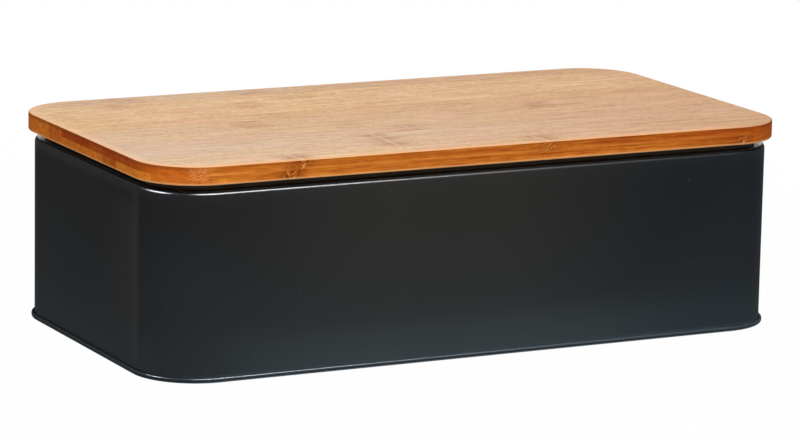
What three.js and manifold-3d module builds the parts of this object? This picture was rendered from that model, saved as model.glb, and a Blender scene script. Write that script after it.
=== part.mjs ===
// Bread box: a sheet-steel box with rounded corners under a loose board lid of laminated bamboo strips.
// Millimetres. +X along the length, -Y towards the front, +Z up, origin at the centre of the footprint.
import * as THREE from 'three';
import { mergeVertices } from 'three/addons/utils/BufferGeometryUtils.js';
import Module from 'manifold-3d';

const wasm = await Module();
wasm.setup();
const { Manifold, Mesh: SolidMesh } = wasm;

// Lid board
const lid_length = 425;
const lid_width = 230;
const lid_corner_radius = 37;
const box_height = 128;
const strip_count = 11;
const strip_thickness = 5.5;
const board_edge_round = 1;
const plug_depth = 9.5;
const plug_edge_round = 0.8;
const groove_drop = 3.8;
const groove_height = 3;
const groove_depth = 2.5;

// Wall
const sheet = 0.4;
const lid_overhang = 3;
const wall_corner_radius = 37;
const rim_to_lid = 4.5;
const shoulder_radius = 2.5;
const flange_flat = 5.5;
const lip_bend_radius = 1.2;
const lip_depth = 8;
const curl_radius = 1;
const curl_angle = 250;
const lap_width = 9;
const lap_step = 0.4;
const lap_margin = 2;

// Double seam between wall and bottom
const seam_height = 3;
const hook_bend_radius = 0.7;
const foot_bend_radius = 1.2;

// Bottom panel
const panel_height = 4.3;
const panel_bend_radius = 1.2;
const border_width = 12;
const plateau_rise = 1.6;
const plateau_bend_radius = 1.4;
const plateau_slope_angle = 45;
const plateau_margin = 2;

// Seal ring
const plug_play = 2;
const seal_reach = 1.8;
const seal_chamfer = 0.8;
const seal_web = 0.9;
const seal_skirt = 1.9;
const fin_count = 2;
const fin_reach = 0.5;
const fin_height = 1.2;
const fin_tip_height = 0.4;
const fin_pitch = 2;

// Clearance between pieces, and between the layers of the seam
const gap = 0.3;
const seam_gap = 0.25;

// Facets
const corner_steps = 9;
const edge_round_steps = 3;
const quarter_bend_steps = 4;

const lid_underside = box_height - 2 * strip_thickness;
const rim_top = lid_underside - rim_to_lid;
const plug_low = lid_underside - plug_depth;
const groove_high = lid_underside - groove_drop;
const groove_low = groove_high - groove_height;
const strip_width = lid_width / strip_count;
const wall_length = lid_length - 2 * lid_overhang;
const wall_width = lid_width - 2 * lid_overhang;
const half_sheet = sheet / 2;
const layer_pitch = sheet + seam_gap;
const shoulder_low = rim_top - shoulder_radius;
const flange_inset = shoulder_radius + flange_flat;
const lip_inset = flange_inset + lip_bend_radius;
const plug_inset = lip_inset + plug_play;

const black_steel = { color: 0x232628, metalness: 0.3, roughness: 0.5 };
const bamboo = { color: 0xd2a36a, metalness: 0, roughness: 0.6 };
const silicone = { color: 0x1b1b1c, metalness: 0, roughness: 0.7 };

// Anticlockwise rounded rectangle, moved in by the inset; a negative inset moves it out
function outline(length, width, radius, inset) {
  const centre_x = length / 2 - radius;
  const centre_y = width / 2 - radius;
  const sides = [[1, 1], [-1, 1], [-1, -1], [1, -1]];
  return sides.flatMap(([side_x, side_y], quarter) => {
    const corner = new THREE.EllipseCurve(
      side_x * centre_x,
      side_y * centre_y,
      radius - inset,
      radius - inset,
      quarter * Math.PI / 2,
      (quarter + 1) * Math.PI / 2,
    );
    return corner.getPoints(corner_steps);
  });
}

const wallOutline = (inset) => outline(wall_length, wall_width, wall_corner_radius, inset);
const lidOutline = (inset) => outline(lid_length, lid_width, lid_corner_radius, inset);

function signedVolume(geometry) {
  const { position } = geometry.attributes;
  const [a, b, c] = [new THREE.Vector3(), new THREE.Vector3(), new THREE.Vector3()];
  let total = 0;
  for (let i = 0; i < geometry.index.count; i += 3) {
    a.fromBufferAttribute(position, geometry.index.getX(i));
    b.fromBufferAttribute(position, geometry.index.getX(i + 1));
    c.fromBufferAttribute(position, geometry.index.getX(i + 2));
    total += a.dot(b.cross(c)) / 6;
  }
  return total;
}

// Skin over a row of outlines, one for each [inset, height]; the ends are joined or capped
function loft(section, outlineAt, joined) {
  const loops = section.map(([inset, height]) => outlineAt(inset).map(({ x, y }) => [x, y, height]));
  const around = loops[0].length;
  const index = [];
  for (let row = 0; row < loops.length - (joined ? 0 : 1); row++) {
    const low = row * around;
    const high = ((row + 1) % loops.length) * around;
    for (let i = 0; i < around; i++) {
      const next = (i + 1) % around;
      index.push(low + i, low + next, high + next, low + i, high + next, high + i);
    }
  }
  if (!joined) {
    const last = (loops.length - 1) * around;
    const flat = loops[0].map(([x, y]) => new THREE.Vector2(x, y));
    THREE.ShapeUtils.triangulateShape(flat, []).forEach(([a, b, c]) => {
      index.push(a, c, b, last + a, last + b, last + c);
    });
  }
  const geometry = new THREE.BufferGeometry();
  geometry.setAttribute('position', new THREE.Float32BufferAttribute(loops.flat(2), 3));
  geometry.setIndex(index);
  if (signedVolume(geometry) < 0) {
    geometry.setIndex(index.reverse());
  }
  return geometry;
}

// Middle of a formed sheet in [inset, height]: straight runs, and bends in degrees, positive to the left
function sheetLine(start, heading, steps) {
  const at = new THREE.Vector2(...start);
  const ahead = new THREE.Vector2(1, 0).rotateAround(new THREE.Vector2(), THREE.MathUtils.degToRad(heading));
  const points = [at.clone()];
  steps.forEach(({ run, bend, radius }) => {
    if (run !== undefined) {
      at.addScaledVector(ahead, run);
      points.push(at.clone());
      return;
    }
    const turn = THREE.MathUtils.degToRad(bend);
    const centre = new THREE.Vector2(-ahead.y, ahead.x).multiplyScalar(radius * Math.sign(bend)).add(at);
    const pieces = Math.ceil(Math.abs(bend) / 90 * quarter_bend_steps);
    for (let i = 1; i <= pieces; i++) {
      points.push(at.clone().rotateAround(centre, turn * i / pieces));
    }
    at.copy(points.at(-1));
    ahead.rotateAround(new THREE.Vector2(), turn);
  });
  return points;
}

// Section of the sheet: along its left face, back along its right face
function sheetSection(line) {
  const runs = line.slice(1).map((point, i) => point.clone().sub(line[i]).normalize());
  const offsets = line.map((point, i) => {
    const after = runs[Math.min(i, runs.length - 1)];
    const middle = runs[Math.max(i - 1, 0)].clone().add(after).normalize();
    return new THREE.Vector2(-middle.y, middle.x).multiplyScalar(half_sheet / middle.dot(after));
  });
  const left = line.map((point, i) => point.clone().add(offsets[i]).toArray());
  const right = line.map((point, i) => point.clone().sub(offsets[i]).toArray());
  return [...left, ...right.reverse()];
}

function solid(geometry) {
  const bare = geometry.clone();
  bare.deleteAttribute('normal');
  bare.deleteAttribute('uv');
  const welded = mergeVertices(bare);
  const mesh = new SolidMesh({
    numProp: 3,
    vertProperties: Float32Array.from(welded.attributes.position.array),
    triVerts: Uint32Array.from(welded.index.array),
  });
  mesh.merge();
  return Manifold.ofMesh(mesh);
}

function skin(body) {
  const mesh = body.getMesh();
  const geometry = new THREE.BufferGeometry();
  geometry.setAttribute('position', new THREE.Float32BufferAttribute(mesh.vertProperties, 3));
  geometry.setIndex(Array.from(mesh.triVerts));
  return geometry;
}

function block(low, high) {
  const size = high.clone().sub(low);
  const middle = low.clone().add(high).multiplyScalar(1 / 2);
  return solid(new THREE.BoxGeometry(size.x, size.y, size.z).translate(middle.x, middle.y, middle.z));
}

function piece(name, geometry, look) {
  geometry.computeVertexNormals();
  const mesh = new THREE.Mesh(geometry, new THREE.MeshStandardMaterial(look));
  mesh.name = name;
  return mesh;
}

// Band of sheet steel: hook in the seam, wall, shoulder, rim flange, lip and curl, lapped at the back
function bodyWall() {
  const hook_inset = half_sheet - 2 * layer_pitch;
  const hook_floor = half_sheet + layer_pitch;
  const hook_bend = hook_bend_radius - half_sheet;
  const hook_top = seam_height - layer_pitch - half_sheet;
  const lip_run = lip_depth - lip_bend_radius - curl_radius;
  const line = sheetLine([hook_inset, hook_top], -90, [
    { run: hook_top - hook_floor - hook_bend },
    { bend: 90, radius: hook_bend },
    { run: 2 * layer_pitch - 2 * hook_bend },
    { bend: 90, radius: hook_bend },
    { run: shoulder_low - hook_floor - hook_bend },
    { bend: -90, radius: shoulder_radius - half_sheet },
    { run: flange_flat },
    { bend: -90, radius: lip_bend_radius - half_sheet },
    { run: lip_run },
    { bend: -curl_angle, radius: curl_radius - half_sheet },
  ]);
  const band = solid(loft(sheetSection(line), wallOutline, true));
  const back = wall_width / 2;
  const lap = block(
    new THREE.Vector3(-lap_width / 2, back - half_sheet, seam_height + lap_margin),
    new THREE.Vector3(lap_width / 2, back + lap_step, shoulder_low - lap_margin),
  );
  return piece('body_wall', skin(band.add(lap)), black_steel);
}

// Pressed bottom: hook inside the seam, curl round it, up inside the wall, border and raised plateau
function bottomPanel() {
  const hook_inset = half_sheet - layer_pitch;
  const hook_low = sheet + layer_pitch + seam_gap;
  const hook_top = seam_height - layer_pitch - half_sheet;
  const foot_bend = foot_bend_radius - half_sheet;
  const panel_bend = panel_bend_radius - half_sheet;
  const plateau_bend = plateau_bend_radius - half_sheet;
  const slope = THREE.MathUtils.degToRad(plateau_slope_angle);
  const slope_run = (plateau_rise - 2 * plateau_bend * (1 - Math.cos(slope))) / Math.sin(slope);
  const line = sheetLine([hook_inset, hook_low], 90, [
    { run: hook_top - hook_low },
    { bend: 180, radius: layer_pitch },
    { run: hook_top - half_sheet - foot_bend },
    { bend: 90, radius: foot_bend },
    { run: 4 * layer_pitch - 2 * foot_bend },
    { bend: 90, radius: foot_bend },
    { run: panel_height - sheet - panel_bend - foot_bend },
    { bend: -90, radius: panel_bend },
    { run: border_width },
    { bend: plateau_slope_angle, radius: plateau_bend },
    { run: slope_run },
    { bend: -plateau_slope_angle, radius: plateau_bend },
    { run: plateau_margin },
  ]);
  const section = sheetSection(line);
  const fromPlateau = [...section.slice(line.length), ...section.slice(0, line.length)];
  return piece('bottom_panel', loft(fromPlateau, wallOutline, false), black_steel);
}

// Quarter round at the edge of a board, from its flat face at the level to its side
function edgeRound(level, inset, radius, inward) {
  return Array.from({ length: edge_round_steps + 1 }, (_, step) => {
    const angle = step / edge_round_steps * Math.PI / 2;
    return [inset + radius * (1 - Math.sin(angle)), level + inward * radius * (1 - Math.cos(angle))];
  });
}

function lidBoard() {
  const section = [
    ...edgeRound(lid_underside, 0, board_edge_round, 1),
    ...edgeRound(box_height, 0, board_edge_round, -1).reverse(),
  ];
  return solid(loft(section, lidOutline, false));
}

// Part of the third layer that is left by the milling, with the groove for the seal
function lidPlug() {
  const section = [
    ...edgeRound(plug_low, plug_inset, plug_edge_round, 1),
    [plug_inset, groove_low],
    [plug_inset + groove_depth, groove_low],
    [plug_inset + groove_depth, groove_high],
    [plug_inset, groove_high],
    [plug_inset, lid_underside],
  ];
  return solid(loft(section, wallOutline, false));
}

// One layer of the board as its strips, numbered from the front
function layer(name, board, low, high) {
  return Array.from({ length: strip_count }, (_, i) => {
    const front = i * strip_width - lid_width / 2;
    const strip = block(
      new THREE.Vector3(-lid_length, front, low),
      new THREE.Vector3(lid_length, front + strip_width, high),
    );
    const number = String(i + 1).padStart(2, '0');
    return piece(`${name}_strip_${number}`, skin(board.intersect(strip)), bamboo);
  });
}

// Silicone ring: lip between rim and board, web beside the plug, tongue in the groove, fins towards the rim's lip
function sealRing() {
  const lip_out = flange_inset - seal_reach;
  const lip_low = rim_top + gap;
  const lip_high = lid_underside - gap;
  const web_in = plug_inset - gap;
  const web_out = web_in - seal_web;
  const tongue_in = plug_inset + groove_depth - gap;
  const skirt_low = groove_low - seal_skirt;
  const fins = Array.from({ length: fin_count }, (_, i) => skirt_low + i * fin_pitch).flatMap((low) => [
    [web_out, low],
    [web_out - fin_reach, low + fin_height - fin_tip_height],
    [web_out - fin_reach, low + fin_height],
    [web_out, low + fin_height],
  ]);
  const section = [
    ...fins,
    [web_out, lip_low],
    [lip_out, lip_low],
    [lip_out, lip_high - seal_chamfer],
    [lip_out + seal_chamfer, lip_high],
    [web_in, lip_high],
    [web_in, groove_high - gap],
    [tongue_in, groove_high - gap],
    [tongue_in, groove_low + gap],
    [web_in, groove_low + gap],
    [web_in, skirt_low],
  ];
  return piece('seal_ring', loft(section, wallOutline, true), silicone);
}

const board = lidBoard();
const group = new THREE.Group();
group.name = 'bread_box';
group.add(
  bodyWall(),
  bottomPanel(),
  ...layer('lid_top', board, box_height - strip_thickness, box_height),
  ...layer('lid_bottom', board, lid_underside, box_height - strip_thickness),
  ...layer('lid_plug', lidPlug(), plug_low, lid_underside),
  sealRing(),
);

export default group;
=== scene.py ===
"""Bread box: a black sheet-steel box with a bamboo board as its lid. Lengths are in millimetres."""

from math import ceil, copysign, cos, pi, radians, sin

import bmesh
import bpy
from mathutils import Matrix, Vector


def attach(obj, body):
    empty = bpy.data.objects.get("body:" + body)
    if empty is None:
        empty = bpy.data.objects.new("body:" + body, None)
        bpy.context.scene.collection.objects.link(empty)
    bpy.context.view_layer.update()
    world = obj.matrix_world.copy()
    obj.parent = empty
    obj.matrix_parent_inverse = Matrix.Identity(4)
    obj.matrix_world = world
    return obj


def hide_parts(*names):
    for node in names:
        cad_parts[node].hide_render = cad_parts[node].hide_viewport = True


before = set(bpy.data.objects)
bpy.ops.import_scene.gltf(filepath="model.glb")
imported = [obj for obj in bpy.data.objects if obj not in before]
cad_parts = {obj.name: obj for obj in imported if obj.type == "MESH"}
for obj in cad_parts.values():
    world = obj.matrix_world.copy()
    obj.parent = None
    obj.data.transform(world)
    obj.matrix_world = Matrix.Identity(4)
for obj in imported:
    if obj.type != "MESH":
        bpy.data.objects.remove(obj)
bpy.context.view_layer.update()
MM = 0.001

# Lid board
LID_LENGTH, LID_WIDTH, LID_CORNER = 425, 230, 37
BOX_HEIGHT = 128
STRIP_COUNT, STRIP_THICKNESS = 11, 5.5
STRIP_WIDTH = LID_WIDTH / STRIP_COUNT
BOARD_ROUND = 1
LID_UNDERSIDE = BOX_HEIGHT - 2 * STRIP_THICKNESS
PLUG_DEPTH, PLUG_ROUND = 9.5, 0.8
PLUG_LOW = LID_UNDERSIDE - PLUG_DEPTH
GROOVE_DROP, GROOVE_WIDTH, GROOVE_DEPTH = 3.8, 3, 2.5
GROOVE_HIGH = LID_UNDERSIDE - GROOVE_DROP
GROOVE_LOW = GROOVE_HIGH - GROOVE_WIDTH

# Steel box
SHEET, SEAM_GAP, GAP = 0.4, 0.25, 0.3
PITCH = SHEET + SEAM_GAP
OVERHANG = 3
WALL_LENGTH, WALL_WIDTH, WALL_CORNER = LID_LENGTH - 2 * OVERHANG, LID_WIDTH - 2 * OVERHANG, 37
RIM_DROP = 4.5
RIM_TOP = LID_UNDERSIDE - RIM_DROP
SHOULDER, FLANGE_FLAT, LIP_BEND, LIP_DEPTH = 2.5, 5.5, 1.2, 8
SHOULDER_FOOT = RIM_TOP - SHOULDER
CURL, CURL_ANGLE = 1, 250
SEAM_HEIGHT, HOOK_BEND, FOOT_BEND = 3, 0.7, 1.2
HOOK_TOP = SEAM_HEIGHT - PITCH - SHEET / 2
PANEL_HEIGHT, PANEL_BEND, BORDER = 4.3, 1.2, 12
PLATEAU_RISE, PLATEAU_BEND, PLATEAU_SLOPE, PLATEAU_MARGIN = 1.6, 1.4, 45, 2
LAP_WIDTH, LAP_STEP, LAP_MARGIN, LAP_BEVEL = 9, 0.4, 2, 0.25
FLANGE_INSET = SHOULDER + FLANGE_FLAT
PLUG_PLAY = 2
PLUG_INSET = FLANGE_INSET + LIP_BEND + PLUG_PLAY

# Seal
SEAL_REACH, SEAL_CHAMFER, SEAL_WEB, SEAL_SKIRT = 1.8, 0.8, 0.9, 1.9
FIN_REACH, FIN_HEIGHT, FIN_TIP, FIN_PITCH = 0.5, 1.2, 0.4, 2

# Steps in a corner, degrees in a step of a bend, and the degrees above which an edge stays sharp
CORNER_STEPS, BEND_STEP, SHARP_EDGE = 24, 12, 40
# Points closer than this are one, and a point this close to a saw cut lies on it
WELD, CUT_SLACK = 0.001, 0.0001

LID_OUTLINE = (LID_LENGTH, LID_WIDTH, LID_CORNER)
WALL_OUTLINE = (WALL_LENGTH, WALL_WIDTH, WALL_CORNER)

# Camera: degrees round, up and turned; lens and distance; the point that it looks at, and how far
# to the right of it and above it the middle of the view lies
AZIMUTH, ELEVATION, ROLL = -27.0447, 11.5789, -1.1026
LENS, DISTANCE = 187.07, 2569.94
AIM, AIM_RIGHT, AIM_UP = (0, 0, 70), 0.1235, -8.388

# Studio: the floor's half width in metres, its grey, the world's light and the glints' faint blue
FLOOR_REACH, FLOOR_GREY, WORLD_LIGHT = 20, 0.75, 0.3
GLINT_COLOUR = 0.93, 0.95, 1


# Materials


class Amount:
    """A number that varies over a surface; arithmetic on it adds Math nodes."""

    def __init__(self, finish, socket):
        self.finish, self.socket = finish, socket

    def maths(self, operation, *values):
        return self.finish.node("Math", dict(enumerate(values)), operation=operation)

    def __add__(self, other):
        return self.maths("ADD", self, other)

    def __sub__(self, other):
        return self.maths("SUBTRACT", self, other)

    def __rsub__(self, other):
        return self.maths("SUBTRACT", other, self)

    def __mul__(self, other):
        return self.maths("MULTIPLY", self, other)

    def __truediv__(self, other):
        return self.maths("DIVIDE", self, other)

    def __pow__(self, other):
        return self.maths("POWER", self, other)

    def __abs__(self):
        return self.maths("ABSOLUTE", self)

    def sign(self):
        return self.maths("SIGN", self)

    def fraction(self):
        return self.maths("FRACT", self)

    def larger(self, other):
        return self.maths("MAXIMUM", self, other)

    def smaller(self, other):
        return self.maths("MINIMUM", self, other)

    def rising(self, low, high):
        """0 below low, 1 above high, smooth between; falls where low is the larger."""
        values = {"Value": self, "From Min": low, "From Max": high}
        return self.finish.node("MapRange", values, interpolation_type="SMOOTHSTEP")

    __radd__, __rmul__ = __add__, __mul__


class Finish:
    """A material, or a world, being made from nodes; places are in millimetres."""

    def __init__(self, made):
        self.made = made
        self.made.use_nodes = True
        self.tree = self.made.node_tree
        self.tree.nodes.clear()

    def node(self, kind, values=None, output=0, **settings):
        made = self.tree.nodes.new("ShaderNode" + kind)
        for setting, value in settings.items():
            setattr(made, setting, value)
        for key, value in (values or {}).items():
            if isinstance(value, Amount):
                self.tree.links.new(value.socket, made.inputs[key])
            else:
                made.inputs[key].default_value = value
        return Amount(self, made.outputs[output])

    def place(self):
        here = self.node("TexCoord", output="Object")
        return self.node("VectorMath", {0: here, "Scale": 1 / MM}, operation="SCALE")

    def parts(self, vector):
        split = self.node("SeparateXYZ", {0: vector}).socket.node
        return [Amount(self, socket) for socket in split.outputs]

    def vector(self, x, y, z):
        return self.node("CombineXYZ", {0: x, 1: y, 2: z})

    def noise(self, vector, scale=1, detail=2, rough=0.5):
        values = {"Vector": vector, "Scale": scale, "Detail": detail, "Roughness": rough}
        return self.node("TexNoise", values)

    def mix(self, share, base, over):
        """One colour over another, by the share; sockets 6, 7 and output 2 are the colour ones."""
        base, over = (c if isinstance(c, Amount) else (*c, 1) for c in (base, over))
        return self.node("Mix", {0: share, 6: base, 7: over}, output=2, data_type="RGBA")

    def shown(self):
        """1 where the camera looks, straight, in a mirror or through glass, and 0 for light."""
        path = self.tree.nodes.new("ShaderNodeLightPath")
        names = "Is Camera Ray", "Is Glossy Ray", "Is Transmission Ray"
        camera_ray, glossy_ray, glass_ray = (Amount(self, path.outputs[name]) for name in names)
        return camera_ray.larger(glossy_ray).larger(glass_ray)

    def surface(self, colour, roughness, height, relief, shine):
        """Principled shader with its bump; relief is the bump's depth in millimetres."""
        bump = self.node("Bump", {"Height": height, "Strength": 1, "Distance": relief * MM})
        values = {"Base Color": colour, "Roughness": roughness, "Normal": bump, **shine}
        return self.closed(self.node("BsdfPrincipled", values), "OutputMaterial")

    def closed(self, shader, kind):
        """The whole finish, with the shader on its output."""
        out = self.tree.nodes.new("ShaderNode" + kind)
        self.tree.links.new(shader.socket, out.inputs[0])
        return self.made


def tint(red, green, blue):
    """Colour from screen values of 0 to 255."""
    shares = [value / 255 for value in (red, green, blue)]
    return tuple(v / 12.92 if v < 0.04045 else ((v + 0.055) / 1.055) ** 2.4 for v in shares)


def black_coat():
    """Satin black powder coat: soft changes of tone with painted sheen, highlights and reflections, fine
    orange peel and a little dust.
    """
    f = Finish(bpy.data.materials.new("black_coat"))
    place = f.place()
    x, y, z = f.parts(place)
    facing_z = f.parts(f.node("NewGeometry", output="Normal"))[2]
    cloud = f.noise(place, 0.011, 1)
    peel = f.noise(place, 1.4, 2)
    grit = f.noise(place, 4.5, 1)

    # Broad tone: random soft changes, a painted warm sheen in the middle, a painted bluish reflection to
    # the right, and a painted floor reflection paler towards the floor, but less so round the left
    # corners
    colour = f.mix(cloud.rising(0.7, 0.3), tint(27, 28, 29), tint(31, 32, 33))
    colour = f.mix(abs(x + 35).rising(175, 20) * (cloud * 0.5 + 0.6), colour, tint(43, 42, 40))
    colour = f.mix(x.rising(60, 200) * 0.5, colour, tint(25, 32, 38))
    colour = f.mix(z.rising(100, 0) * 0.42, colour, tint(44, 51, 56))
    corner = x.rising(-150, -190) * x.rising(-208, -203)
    low = z.rising(38, 2) * (1 - corner * 0.8)
    colour = f.mix(low * (abs(x + 15).rising(185, 60) * 0.2 + 0.12), colour, tint(70, 83, 86))

    # Seam: a painted pale sheen, a painted dark shade line along its middle and a painted floor
    # reflection at its foot
    seam = z.rising(SEAM_HEIGHT + 2, SEAM_HEIGHT) * (x.rising(-205, -160) * 0.85 + 0.15)
    painted_seam_shade = z.rising(2, 1.6) * z.rising(0.8, 1.1)
    painted_seam_reflection = seam * z.rising(1, 0.7)
    colour = f.mix(seam * 0.5, colour, tint(66, 78, 88))
    colour = f.mix(painted_seam_shade * 0.9, colour, tint(24, 34, 41))
    colour = f.mix(painted_seam_reflection * 0.8, colour, tint(92, 104, 115))

    # Front corners: a painted sheen behind the line where the side starts to bend, and a painted
    # highlight along it
    bend_line = WALL_CORNER - WALL_WIDTH / 2
    painted_corner_sheen = y.rising(bend_line + 70, bend_line) * y.rising(bend_line - 3, bend_line)
    painted_corner_sheen = painted_corner_sheen * z.rising(8, 30) * z.rising(SHOULDER_FOOT - 4, SHOULDER_FOOT - 14)
    painted_bend_highlight = y.rising(bend_line + 12, bend_line + 3) * y.rising(bend_line - 5, bend_line - 1)
    painted_bend_highlight = painted_bend_highlight * z.rising(3, 10) * z.rising(SHOULDER_FOOT, SHOULDER_FOOT - 6)
    colour = f.mix(painted_corner_sheen * 0.5, colour, tint(46, 45, 44))
    colour = f.mix(painted_bend_highlight * 0.22, colour, tint(62, 61, 60))

    # Dust
    specks = f.node("TexVoronoi", {"Vector": place, "Scale": 0.11}, output="Distance")
    dust = specks.rising(0.045, 0.025) * f.noise(place, 0.05, 0).rising(0.4, 0.6)
    colour = f.mix(dust * 0.5, colour, tint(110, 112, 114))

    # Rim flange: painted paler to lift the shade under the board, less so along the left end; it shines
    # only at a low angle
    rim = facing_z.rising(0.9, 0.98) * z.rising(RIM_TOP - 0.5, RIM_TOP - 0.2)
    rim = rim * (1 - x.rising(-190, -200) * y.rising(85, 60) * 0.9)
    low_angle_gloss = rim * f.node("LayerWeight", output="Facing").rising(0.6, 0.78)
    colour = f.mix(rim * 0.6, colour, tint(84, 78, 70))

    # Gloss: most on the shoulder and the seam, none on steel that faces up
    gloss = z.rising(SHOULDER_FOOT - 6, SHOULDER_FOOT) * 0.05 + seam * 0.08 + 0.06
    gloss = gloss * facing_z.rising(0.9, 0.7)
    shine = {
        "Specular IOR Level": 0,
        "Metallic": low_angle_gloss * 0.8,
        "Coat Weight": low_angle_gloss.larger(gloss),
        "Coat Roughness": 0.25,
    }
    roughness = 0.5 + peel * 0.1 + dust * 0.2 - low_angle_gloss * 0.3
    return f.surface(colour, roughness, peel + grit * 0.3, 0.02, shine)


def silicone():
    """Matt dark brownish silicone: partly its own colour, partly a painted warm reflection bounced from
    the board.
    """
    f = Finish(bpy.data.materials.new("silicone"))
    place = f.place()
    bloom = f.noise(place, 0.08, 3)
    grain = f.noise(place, 2.5, 1)
    colour = f.mix(bloom.rising(0.3, 0.7), tint(49, 40, 31), tint(62, 52, 42))
    return f.surface(colour, 0.55 + bloom * 0.15, grain, 0.03, {"Specular IOR Level": 0.1})


def bamboo():
    """Oiled bamboo, its flat faces painted lit and its edges painted shaded: fibres along the strip,
    knuckles across it, bundle ends on end grain.
    """
    f = Finish(bpy.data.materials.new("bamboo"))
    place = f.place()
    x, y, z = f.parts(place)
    facing_x, _, facing_z = f.parts(f.node("NewGeometry", output="Normal"))
    names = "tone", "painted_falloff", "ash", "cut_tone", "seed", "knuckle_1", "knuckle_2", "scar", "smudge"
    strip = [f.node("Attribute", output="Fac", attribute_name=name) for name in names]
    tone, painted_falloff, ash, cut_tone, seed, first, second, scar, smudge = strip
    # Painted shade: each strip darker towards its right end
    tone = tone + painted_falloff * (x / LID_LENGTH)

    # Each strip shows its own stretch of the patterns
    shift = seed * 31.7

    # Flat faces, end grain, and the slanting cuts round the board's corners
    flat = abs(facing_z).rising(0.72, 0.94)
    end = abs(facing_x).rising(0.1, 0.3) * (1 - flat)
    slant = abs(facing_x).rising(0.1, 0.22) * abs(facing_x).rising(0.52, 0.38) * (1 - flat)

    # Distance from the board's outline, and painted sheen along the rims at the front and the left end
    over_x = (abs(x) - LID_LENGTH / 2 + LID_CORNER).larger(0)
    over_y = (abs(y) - LID_WIDTH / 2 + LID_CORNER).larger(0)
    inset = LID_CORNER - (over_x * over_x + over_y * over_y) ** 0.5
    rim = inset.rising(9, 2)
    painted_front_sheen = rim * y.rising(-60, -LID_WIDTH / 2) * x.rising(195, 150)
    painted_left_sheen = rim * x.rising(-150, -LID_LENGTH / 2)

    # Knuckles: a pale scar across the strip, in a dark patch where the fibres swerve
    wander = (f.noise(f.vector(shift, y * 0.09, z * 0.3), 1, 1) - 0.5) * 6
    from_first, from_second = x - first + wander, x - second + wander
    reach = abs(from_first).smaller(abs(from_second))
    broken = f.noise(f.vector(x * 0.35, y * 0.6, z), 1, 1).rising(0.3, 0.6)
    ridge = reach.rising(2.4, 0.8) * broken * scar
    hairline = reach.rising(1.7, 2.4) * reach.rising(4, 2.8) * scar
    haze = reach.rising(17, 3)
    core = reach.rising(8, 1.5)
    side = from_first.sign()
    swerve = haze * f.noise(f.vector(x * 0.12, y * 0.25, shift), 1, 2) * 2.4
    swerved_y, swerved_z = y + swerve, z + shift

    def fibres(along, across, deep, detail, rough=0.5):
        """Pattern drawn out along the strip, which swerves round its knuckles."""
        where = f.vector(x * along + shift, swerved_y * across, swerved_z * deep)
        return f.noise(where, 1, detail, rough)

    # Fibres
    fine = fibres(0.035, 2.2, 2.4, 3, 0.6)
    streak = fibres(0.015, 0.3, 0.8, 3, 0.6)
    mottle = fibres(0.14, 0.3, 0.5, 2, 0.6)
    ripple = fibres(0.3, 0.33, 0.5, 1)
    dark = fibres(0.02, 0.6, 1.1, 2, 0.6).rising(0.54, 0.7)
    pores = fibres(0.11, 3.1, 3.1, 1)
    fleck, pale_fleck = pores.rising(0.66, 0.74), pores.rising(0.3, 0.22)
    smear = haze * smudge * fibres(0.05, 0.25, 0.5, 2).rising(0.3, 0.6)
    cloud = f.noise(f.vector(x * 0.006 + shift, swerved_y * 0.07, shift), 1, 2)
    hue = f.noise(f.vector(x * 0.016 + shift, y * 0.05, shift), 1, 2)
    fibre = (fine * 0.4 + streak * 0.4 + mottle * 0.2).rising(0.37, 0.63)
    grain = (fine * 0.46 + streak * 0.24 + mottle * 0.15 + ripple * 0.15).rising(0.39, 0.61)

    # Flat faces, painted paler and lighter as if lit from above with a sheen
    lit_flat_colour = f.mix(grain, tint(213, 163, 116), tint(250, 216, 173))
    browner = f.mix(grain, tint(194, 142, 102), tint(226, 182, 142))
    greyer = f.mix(grain, tint(207, 174, 150), tint(231, 208, 186))
    lit_flat_colour = f.mix(tone * 0.7, lit_flat_colour, browner)
    lit_flat_colour = f.mix(ash * (x / LID_LENGTH * -0.8 + 0.6), lit_flat_colour, greyer)
    lit_flat_colour = f.mix(hue.rising(0.48, 0.72) * 0.3, lit_flat_colour, tint(236, 182, 154))
    lit_flat_colour = f.mix(hue.rising(0.52, 0.28) * 0.3, lit_flat_colour, tint(228, 190, 136))
    lit_flat_colour = f.mix(dark * 0.22, lit_flat_colour, tint(198, 136, 92))
    lit_flat_colour = f.mix(fleck * 0.35, lit_flat_colour, tint(160, 110, 76))
    lit_flat_colour = f.mix(pale_fleck * 0.3, lit_flat_colour, tint(250, 222, 186))
    lit_flat_colour = f.mix(smear * 0.45, lit_flat_colour, tint(166, 102, 70))
    lit_flat_colour = f.mix(hairline * 0.3, lit_flat_colour, tint(156, 104, 76))
    lit_flat_colour = f.mix(ridge * (0.3 + fine * 0.5), lit_flat_colour, tint(238, 208, 186))
    # Painted sheen along the front and left rims
    lit_flat_colour = f.mix(painted_front_sheen * 0.55, lit_flat_colour, tint(252, 190, 130))
    lit_flat_colour = f.mix(painted_left_sheen * 0.5, lit_flat_colour, tint(254, 204, 162))

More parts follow.
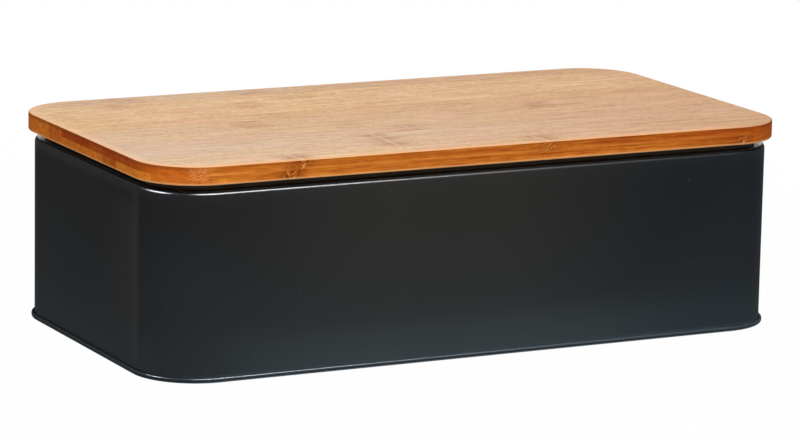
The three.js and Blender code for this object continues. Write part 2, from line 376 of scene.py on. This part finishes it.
    # Long edges, painted darker and redder as if in shade, with slanting strokes in the knuckles
    strokes = f.noise(f.vector((x + z * side) * 0.22, (x - z * side) * 1.1, shift), 1, 1)
    shaded_edge_colour = f.mix(fibre, tint(172, 86, 26), tint(226, 143, 53))
    shaded_edge_colour = f.mix(tone * 0.75, shaded_edge_colour, f.mix(fibre, tint(142, 54, 15), tint(196, 103, 31)))
    shaded_edge_colour = f.mix(cloud.rising(0.42, 0.62) * 0.3, shaded_edge_colour, tint(160, 70, 12))
    shaded_edge_colour = f.mix(dark * 0.6, shaded_edge_colour, tint(122, 46, 6))
    shaded_edge_colour = f.mix(fleck * 0.4, shaded_edge_colour, tint(104, 40, 8))
    shaded_edge_colour = f.mix(smear * 0.7, shaded_edge_colour, tint(128, 48, 8))
    shaded_edge_colour = f.mix(core * strokes.rising(0.5, 0.4) * 0.7, shaded_edge_colour, tint(104, 38, 6))
    shaded_edge_colour = f.mix(core * core * strokes.rising(0.54, 0.62) * 0.7, shaded_edge_colour, tint(236, 164, 84))

    # End grain: the dark ends of the fibre bundles, with painted glints where the cut slants, on the
    # left half only
    cells = {"Vector": f.vector(shift, y * 0.95, z * 1.05), "Scale": 1, "Randomness": 0.85}
    dots = f.node("TexVoronoi", cells, output="Distance").rising(0.42, 0.18)
    ground = f.noise(f.vector(shift, y * 0.22, z * 0.35), 1, 2).rising(0.35, 0.65)
    cut = f.mix(ground, tint(217, 122, 38), tint(232, 138, 48))
    cut = f.mix(cut_tone, cut, f.mix(ground, tint(153, 56, 14), tint(175, 69, 18)))
    cut = f.mix(dots * (0.3 + slant * 0.3), cut, tint(112, 40, 6))
    painted_glints = f.noise(f.vector(x * 1.7, y * 1.7, z * 2), 1, 1, 0.6).rising(0.52, 0.62) * slant
    painted_glints = painted_glints * z.rising(LID_UNDERSIDE + 1.5, LID_UNDERSIDE + 4) * x.rising(0, -100)

    # Glue lines between the strips
    across = (y / STRIP_WIDTH + STRIP_COUNT / 2).fraction()
    joint = abs(across - 0.5).rising(0.488, 0.497) * flat

    # Glue line between the layers, on the long edges
    glue = BOX_HEIGHT - STRIP_THICKNESS
    glue_dark = z.rising(glue - 3.5, glue - 1) * z.rising(glue + 0.1, glue - 0.1)
    glue_pale = z.rising(glue, glue + 0.4) * z.rising(glue + 2, glue + 0.8)
    shaded_edge_colour = f.mix(glue_dark * 0.25, shaded_edge_colour, tint(146, 64, 10))
    shaded_edge_colour = f.mix(glue_pale * 0.2, shaded_edge_colour, tint(226, 150, 66))

    # Arrises: a painted highlight on the upper one and a painted floor reflection on the lower one; the
    # edge is darker just below the upper one
    top_edge_darker = z.rising(BOX_HEIGHT - 3, BOX_HEIGHT - BOARD_ROUND)
    painted_upper_highlight = facing_z.rising(0.62, 0.95)
    painted_lower_reflection = z.rising(LID_UNDERSIDE + 1.7, LID_UNDERSIDE + 0.7)
    painted_lower_reflection = painted_lower_reflection * z.rising(LID_UNDERSIDE - 0.1, LID_UNDERSIDE)

    # Edges and ends, with painted shade darker to the right, then the flat faces over them
    colour = f.mix(end, shaded_edge_colour, cut)
    colour = f.mix(top_edge_darker * (0.35 + end * 0.2), colour, tint(116, 50, 10))
    colour = f.mix(x.rising(90, 208) * 0.36, colour, tint(128, 46, 10))
    colour = f.mix(painted_glints * 0.5, colour, tint(246, 190, 128))
    colour = f.mix(painted_upper_highlight * 0.65, colour, tint(240, 164, 96))
    colour = f.mix(painted_lower_reflection * 0.55, colour, tint(240, 184, 124))
    colour = f.mix(flat, colour, lit_flat_colour)
    colour = f.mix(joint * 0.25, colour, tint(150, 96, 64))
    shine = {"Specular IOR Level": 0, "Coat Weight": flat * 0.06 + 0.04, "Coat Roughness": 0.35}
    height = fine * 0.6 + streak * 0.3 - fleck * 0.4 + ridge * 0.4 - joint * 0.6 - dots * end * 0.5
    return f.surface(colour, 0.5 + fine * 0.16 - flat * 0.04, height, 0.05, shine)


# Camera and studio


def camera():
    """Long lens, at the photograph's angle and height."""
    azimuth, elevation, roll = radians(AZIMUTH), radians(ELEVATION), radians(ROLL)
    back = Vector((sin(azimuth) * cos(elevation), -cos(azimuth) * cos(elevation), sin(elevation)))
    right = Vector((cos(azimuth), sin(azimuth), 0))
    up = back.cross(right)
    aim = Vector(AIM) + AIM_RIGHT * right + AIM_UP * up
    place = (aim + DISTANCE * back) * MM
    across = cos(roll) * right - sin(roll) * up
    upright = sin(roll) * right + cos(roll) * up
    data = bpy.data.cameras.new("camera")
    data.lens = LENS
    seen = bpy.data.objects.new("camera", data)
    turned = Matrix((across, upright, back)).transposed().to_4x4()
    seen.matrix_world = Matrix.Translation(place) @ turned
    bpy.context.collection.objects.link(seen)
    bpy.context.scene.camera = seen


def lamp(name, place, aim, size, power, pieces=None):
    """Soft box, placed in metres; with a collection of pieces it is only a glint in their gloss."""
    data = bpy.data.lights.new(name, "AREA")
    data.shape, data.size, data.size_y, data.energy = "RECTANGLE", *size, power
    box = bpy.data.objects.new(name, data)
    facing = (Vector(aim) - Vector(place)).to_track_quat("-Z", "Y")
    box.matrix_world = Matrix.Translation(place) @ facing.to_matrix().to_4x4()
    box.visible_camera = False
    box.visible_diffuse = not pieces
    box.visible_glossy = bool(pieces)
    if pieces:
        data.color = GLINT_COLOUR
        box.light_linking.receiver_collection = pieces
    bpy.context.collection.objects.link(box)


def studio():
    """Pale floor and white surroundings for the camera, soft light for the rest."""
    f = Finish(bpy.data.materials.new("studio_floor"))
    paint = f.node("BsdfDiffuse", {"Color": (FLOOR_GREY, FLOOR_GREY, FLOOR_GREY, 1)})
    glow = f.node("Emission", {"Color": (1, 1, 1, 1), "Strength": 1})
    x, y, _ = f.parts(f.place())
    far = ((x * x + y * y) ** 0.5).rising(250, 900)
    share = f.shown() * (far * 0.02 + 0.98)
    pale = f.closed(f.node("MixShader", {0: share, 1: paint, 2: glow}), "OutputMaterial")
    bm = bmesh.new()
    bmesh.ops.create_grid(bm, x_segments=1, y_segments=1, size=FLOOR_REACH)
    mesh = bpy.data.meshes.new("studio_floor")
    bm.to_mesh(mesh)
    bm.free()
    mesh.materials.append(pale)
    floor = bpy.data.objects.new("studio_floor", mesh)
    bpy.context.collection.objects.link(floor)

    f = Finish(bpy.data.worlds.new("studio"))
    level = f.node("MapRange", {"Value": f.shown(), "To Min": WORLD_LIGHT, "To Max": 1})
    sky = f.node("Background", {"Color": (1, 1, 1, 1), "Strength": level})
    bpy.context.scene.world = f.closed(sky, "OutputWorld")

    lamp("soft_box", (-0.48, -1.45, 1.75), (0, -0.05, 0.1), (1.2, 0.7), power=42)
    lamp("back_soft_box", (0.75, 1.2, 0.3), (0, 0, 0.06), (0.8, 0.3), power=9)


def glints():
    """Highlights along the steel's bends."""
    steel = bpy.data.collections.new("steel")
    for name in ("steel_wall", "steel_bottom"):
        steel.objects.link(bpy.data.objects[name])
    lamp("glint_front", (0, -1.1, 1.22), (0, -0.1, 0.1), (1.2, 0.5), power=730, pieces=steel)
    lamp("glint_left", (-1.345, 0.21, 1.01), (-0.19, -0.09, 0.1), (1, 0.35), power=600, pieces=steel)


# Shapes


def run(length):
    return "run", length


def bend(angle, outside):
    """Bend in degrees, positive to the left, with its outside radius."""
    return "bend", angle, outside


def to(inset, height):
    return "to", inset, height


def of_kind(geometry, kind):
    return [item for item in geometry if isinstance(item, kind)]


def swept(outline, start, heading, steps, sheet=0):
    """Line drawn at one side and swept round the rounded outline; it starts at an inset and height,
    and heads inwards at 0 degrees and up at 90."""
    length, width, corner = outline
    mid_x, mid_y = length / 2 - corner, width / 2 - corner
    bm = bmesh.new()
    at = bm.verts.new((length / 2 - start[0], mid_y, start[1]))
    ahead = Matrix.Rotation(radians(heading), 3, "Y") @ Vector((-1, 0, 0))
    for kind, *values in steps:
        if kind == "bend":
            angle, outside = values
            radius = outside - (sheet if angle > 0 else 0)
            left = Matrix.Rotation(pi / 2, 3, "Y") @ ahead
            arc = bmesh.ops.spin(
                bm,
                geom=[at],
                cent=at.co + left * copysign(radius, angle),
                axis=(0, 1, 0),
                angle=radians(angle),
                steps=ceil(abs(angle) / BEND_STEP),
            )
            at = of_kind(arc["geom_last"], bmesh.types.BMVert)[0]
            ahead = Matrix.Rotation(radians(angle), 3, "Y") @ ahead
        else:
            at = bmesh.ops.extrude_vert_indiv(bm, verts=[at])["verts"][0]
            if kind == "run":
                at.co += ahead * values[0]
            else:
                at.co = length / 2 - values[0], mid_y, values[1]
    edge = bm.verts[:] + bm.edges[:]
    for side_x, side_y in ((1, 1), (-1, 1), (-1, -1), (1, -1)):
        centre = (side_x * mid_x, side_y * mid_y, 0)
        arc = bmesh.ops.spin(
            bm, geom=edge, cent=centre, axis=(0, 0, 1), angle=pi / 2, steps=CORNER_STEPS
        )
        lines = of_kind(arc["geom_last"], bmesh.types.BMEdge)
        straight = bmesh.ops.extrude_edge_only(bm, edges=lines)["geom"]
        edge = of_kind(straight, (bmesh.types.BMVert, bmesh.types.BMEdge))
        along = (-2 * mid_x * side_x, 0, 0) if side_x == side_y else (0, -2 * mid_y * side_y, 0)
        bmesh.ops.translate(bm, verts=of_kind(edge, bmesh.types.BMVert), vec=along)
    bmesh.ops.remove_doubles(bm, verts=bm.verts, dist=WELD)
    return bm


def close_ends(bm, above=-1):
    """Fills the open rims that lie higher than a level, and turns the faces outwards."""
    rims = [e for e in bm.edges if e.is_boundary and all(v.co.z > above for v in e.verts)]
    bmesh.ops.holes_fill(bm, edges=rims, sides=0)
    bmesh.ops.recalc_face_normals(bm, faces=bm.faces)


def thicken(bm, outside):
    """Gives a sheet its thickness behind the drawn side, found by turning its largest face outwards."""
    bmesh.ops.recalc_face_normals(bm, faces=bm.faces)
    largest = max(bm.faces, key=lambda face: face.calc_area())
    if largest.normal.dot(outside(largest.calc_center_median())) < 0:
        bmesh.ops.reverse_faces(bm, faces=bm.faces)
    bmesh.ops.solidify(bm, geom=bm.faces[:], thickness=SHEET)


def piece(name, bm, body, material, nodes, values=None):
    """Finished mesh as a piece that rides on its body and stands for its nodes."""
    bmesh.ops.scale(bm, vec=(MM, MM, MM), verts=bm.verts)
    for face in bm.faces:
        face.smooth = True
    for edge in bm.edges:
        if edge.is_manifold and edge.calc_face_angle() > radians(SHARP_EDGE):
            edge.smooth = False
    mesh = bpy.data.meshes.new(name)
    bm.to_mesh(mesh)
    bm.free()
    for key, value in (values or {}).items():
        points = mesh.attributes.new(key, "FLOAT", "POINT").data
        points.foreach_set("value", [value] * len(points))
    mesh.materials.append(material)
    made = bpy.data.objects.new(name, mesh)
    bpy.context.collection.objects.link(made)
    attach(made, body)
    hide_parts(*nodes)


def wall(material):
    """Sheet band from its hook in the seam to the curl inside the rim, with its lap at the back."""
    hook_floor = 2 * SHEET + SEAM_GAP
    bm = swept(
        WALL_OUTLINE,
        (SHEET - 2 * PITCH, HOOK_TOP),
        -90,
        [
            run(HOOK_TOP - hook_floor - HOOK_BEND + SHEET),
            bend(90, HOOK_BEND),
            run(2 * PITCH - SHEET - 2 * (HOOK_BEND - SHEET)),
            bend(90, HOOK_BEND),
            run(SHOULDER_FOOT - hook_floor - HOOK_BEND + SHEET),
            bend(-90, SHOULDER),
            run(FLANGE_FLAT),
            bend(-90, LIP_BEND),
            run(LIP_DEPTH - LIP_BEND - CURL),
            bend(-CURL_ANGLE, CURL),
        ],
        SHEET,
    )
    thicken(bm, lambda centre: Vector((0, centre.y, 0)))
    low, high = SEAM_HEIGHT + LAP_MARGIN, SHOULDER_FOOT - LAP_MARGIN
    back = WALL_WIDTH / 2 + (LAP_STEP - SHEET / 2) / 2
    lap = bmesh.ops.create_cube(bm, size=1)["verts"]
    bmesh.ops.scale(bm, vec=(LAP_WIDTH, LAP_STEP + SHEET / 2, high - low), verts=lap)
    bmesh.ops.translate(bm, vec=(0, back, (low + high) / 2), verts=lap)
    edges = list({edge for vert in lap for edge in vert.link_edges})
    bmesh.ops.bevel(
        bm, geom=edges, offset=LAP_BEVEL, affect="EDGES", segments=3, profile=0.5, material=-1
    )
    piece("steel_wall", bm, "box", material, ["body_wall"])


def bottom(material):
    """Pressed bottom: hook, curl round the wall's hook, chuck wall, border, raised plateau."""
    slope = radians(PLATEAU_SLOPE)
    middle_bend = PLATEAU_BEND - SHEET / 2
    slope_run = (PLATEAU_RISE - 2 * middle_bend * (1 - cos(slope))) / sin(slope)
    hook_low = SHEET + PITCH + SEAM_GAP
    bm = swept(
        WALL_OUTLINE,
        (-PITCH, hook_low),
        90,
        [
            run(HOOK_TOP - hook_low),
            bend(180, PITCH + SHEET / 2),
            run(HOOK_TOP - FOOT_BEND),
            bend(90, FOOT_BEND),
            run(4 * PITCH - SHEET - 2 * (FOOT_BEND - SHEET)),
            bend(90, FOOT_BEND),
            run(PANEL_HEIGHT - PANEL_BEND - FOOT_BEND),
            bend(-90, PANEL_BEND),
            run(BORDER),
            bend(PLATEAU_SLOPE, PLATEAU_BEND),
            run(slope_run),
            bend(-PLATEAU_SLOPE, PLATEAU_BEND),
            run(PLATEAU_MARGIN),
        ],
        SHEET,
    )
    close_ends(bm, PANEL_HEIGHT)
    thicken(bm, lambda centre: Vector((0, 0, 1)))
    piece("steel_bottom", bm, "box", material, ["bottom_panel"])


def seal(material):
    """Silicone ring: lip under the board, web round the plug, tongue in its groove, two fins outside."""
    web_in = PLUG_INSET - GAP
    web_out = web_in - SEAL_WEB
    lip_out = FLANGE_INSET - SEAL_REACH
    lip_low, lip_high = RIM_TOP + GAP, LID_UNDERSIDE - GAP
    tongue = PLUG_INSET + GROOVE_DEPTH - GAP
    tongue_low, tongue_high = GROOVE_LOW + GAP, GROOVE_HIGH - GAP
    skirt = GROOVE_LOW - SEAL_SKIRT
    path = []
    for fin_low in (skirt, skirt + FIN_PITCH):
        fin_high = fin_low + FIN_HEIGHT
        path += [
            to(web_out, fin_low),
            to(web_out - FIN_REACH, fin_high - FIN_TIP),
            to(web_out - FIN_REACH, fin_high),
            to(web_out, fin_high),
        ]
    path += [
        to(web_out, lip_low),
        to(lip_out, lip_low),
        to(lip_out, lip_high - SEAL_CHAMFER),
        to(lip_out + SEAL_CHAMFER, lip_high),
        to(web_in, lip_high),
        to(web_in, tongue_high),
        to(tongue, tongue_high),
        to(tongue, tongue_low),
        to(web_in, tongue_low),
        to(web_in, skirt),
    ]
    bm = swept(WALL_OUTLINE, (web_in, skirt), 0, path)
    bmesh.ops.recalc_face_normals(bm, faces=bm.faces)
    piece("silicone_seal", bm, "lid", material, ["seal_ring"])


def board():
    """The two visible layers in one, with rounded edges, before they are parted into strips."""
    rounding = bend(-90, BOARD_ROUND)
    side = run(BOX_HEIGHT - LID_UNDERSIDE - 2 * BOARD_ROUND)
    bm = swept(LID_OUTLINE, (BOARD_ROUND, LID_UNDERSIDE), 180, [rounding, side, rounding])
    close_ends(bm)
    return bm


def plug():
    """The third layer as milled, with the seal's groove."""
    steps = [
        bend(-90, PLUG_ROUND),
        to(PLUG_INSET, GROOVE_LOW),
        to(PLUG_INSET + GROOVE_DEPTH, GROOVE_LOW),
        to(PLUG_INSET + GROOVE_DEPTH, GROOVE_HIGH),
        to(PLUG_INSET, GROOVE_HIGH),
        to(PLUG_INSET, LID_UNDERSIDE),
    ]
    bm = swept(WALL_OUTLINE, (PLUG_INSET + PLUG_ROUND, PLUG_LOW), 180, steps)
    close_ends(bm)
    return bm


def part_off(bm, place, facing):
    """Saws the solid at the plane, keeps what lies behind it and closes the cut."""
    cut = bmesh.ops.bisect_plane(
        bm,
        geom=bm.verts[:] + bm.edges[:] + bm.faces[:],
        plane_co=place,
        plane_no=facing,
        clear_outer=True,
        dist=CUT_SLACK,
    )
    bmesh.ops.edgeloop_fill(bm, edges=of_kind(cut["geom_cut"], bmesh.types.BMEdge))


# Each layer's strips from the front, from 0, pale, to 1, dark and red: first along the strip,
# then where it is cut across
TONES = {
    "top": (0.55, 0.8, 0.85, 0.95, 0.65, 0.75, 0.65, 0.2, 0, 0.1, 0.9),
    "bottom": (0.4, 0.4, 0.2, 0.6, 0.35, 0.2, 0.5, 0.3, 0.4, 0.25, 0.3),
    "plug": (0.3, 0.5, 0.2, 0.6, 0.35, 0.15, 0.5, 0.3, 0.55, 0.25, 0.4),
}
CUT_TONES = {
    "top": (0.6, 0.73, 0.83, 0.93, 0.79, 0.97, 0.92, 0.58, 0.25, 0.35, 0.5),
    "bottom": (0.5, 0.05, 0.05, 0.65, 0.2, 0.3, 0.25, 0.4, 0.2, 0.3, 0.35),
    "plug": (0.3, 0.5, 0.2, 0.6, 0.35, 0.15, 0.5, 0.3, 0.55, 0.25, 0.4),
}
# How grey each strip of the top layer is
ASH = (0.5, 0.7, 0.9, 0.7, 0.5, 0.4, 0.1, 0, 0.1, 0.1, 0.5)
# Painted shade: how much darker each strip is at its right end than at its left one, as the light falls
# off
PAINTED_FALLOFFS = {
    "top": (1.9, 1.8, 1.5, 1.2, 1, 0.8, 0.8, 0.9, 0.9, 1, 1.1),
    "bottom": (0.3, *(0.8,) * (STRIP_COUNT - 1)),
    "plug": (0,) * STRIP_COUNT,
}
# Each strip's two knuckles from the left end, how pale their scars are and how dark their patches;
# a knuckle that isn't there lies beyond the strip
NONE = 900
KNUCKLES = {
    "top": {
        0: (90, 253, 0.9, 1),
        1: (163, NONE, 0.9, 0.9),
        2: (164, NONE, 0.7, 0.8),
        3: (194, NONE, 0.5, 0.5),
        4: (164, NONE, 0.1, 0.4),
        5: (112, 309, 0.1, 0.9),
        6: (138, NONE, 0, 0.5),
        7: (99, NONE, 0, 0.3),
        8: (135, NONE, 0, 0.5),
        9: (60, 178, 0.2, 0.6),
        10: (70, 157, 0.2, 0.6),
    },
    "bottom": {
        0: (84, 389, 1, 1),
        2: (140, 356, 0.5, 1),
        5: (60, 300, 0.5, 1),
        8: (205, NONE, 0.5, 1),
        10: (118, 340, 0.5, 1),
    },
    "plug": {
        1: (120, 330, 0.5, 1),
        4: (60, 262, 0.5, 1),
        6: (180, 390, 0.5, 1),
        9: (96, 301, 0.5, 1),
    },
}


def strips(material):
    """Three layers of eleven bamboo strips each."""
    layers = {
        "top": (board(), BOX_HEIGHT - STRIP_THICKNESS, None),
        "bottom": (board(), None, BOX_HEIGHT - STRIP_THICKNESS),
        "plug": (plug(), None, None),
    }
    for order, (layer, (whole, low, high)) in enumerate(layers.items()):
        for plane, facing in ((low, -1), (high, 1)):
            if plane is not None:
                part_off(whole, (0, 0, plane), (0, 0, facing))
        for i in range(STRIP_COUNT):
            bm = whole.copy()
            front = i * STRIP_WIDTH - LID_WIDTH / 2
            if i > 0:
                part_off(bm, (0, front, 0), (0, -1, 0))
            if i < STRIP_COUNT - 1:
                part_off(bm, (0, front + STRIP_WIDTH, 0), (0, 1, 0))
            first, second, scar, smudge = KNUCKLES[layer].get(i, (NONE, NONE, 0, 0))
            values = {
                "tone": TONES[layer][i],
                "painted_falloff": PAINTED_FALLOFFS[layer][i],
                "ash": ASH[i] if layer == "top" else 0,
                "cut_tone": CUT_TONES[layer][i],
                "seed": i + order * STRIP_COUNT + 1,
                "knuckle_1": first - LID_LENGTH / 2,
                "knuckle_2": second - LID_LENGTH / 2,
                "scar": scar,
                "smudge": smudge,
            }
            number = "%02d" % (i + 1)
            nodes = ["lid_%s_strip_%s" % (layer, number)]
            piece("bamboo_%s_%s" % (layer, number), bm, "lid", material, nodes, values)
        whole.free()


camera()
studio()
coat = black_coat()
wall(coat)
bottom(coat)
seal(silicone())
strips(bamboo())
glints()
bpy.context.scene.view_settings.view_transform = "Standard"
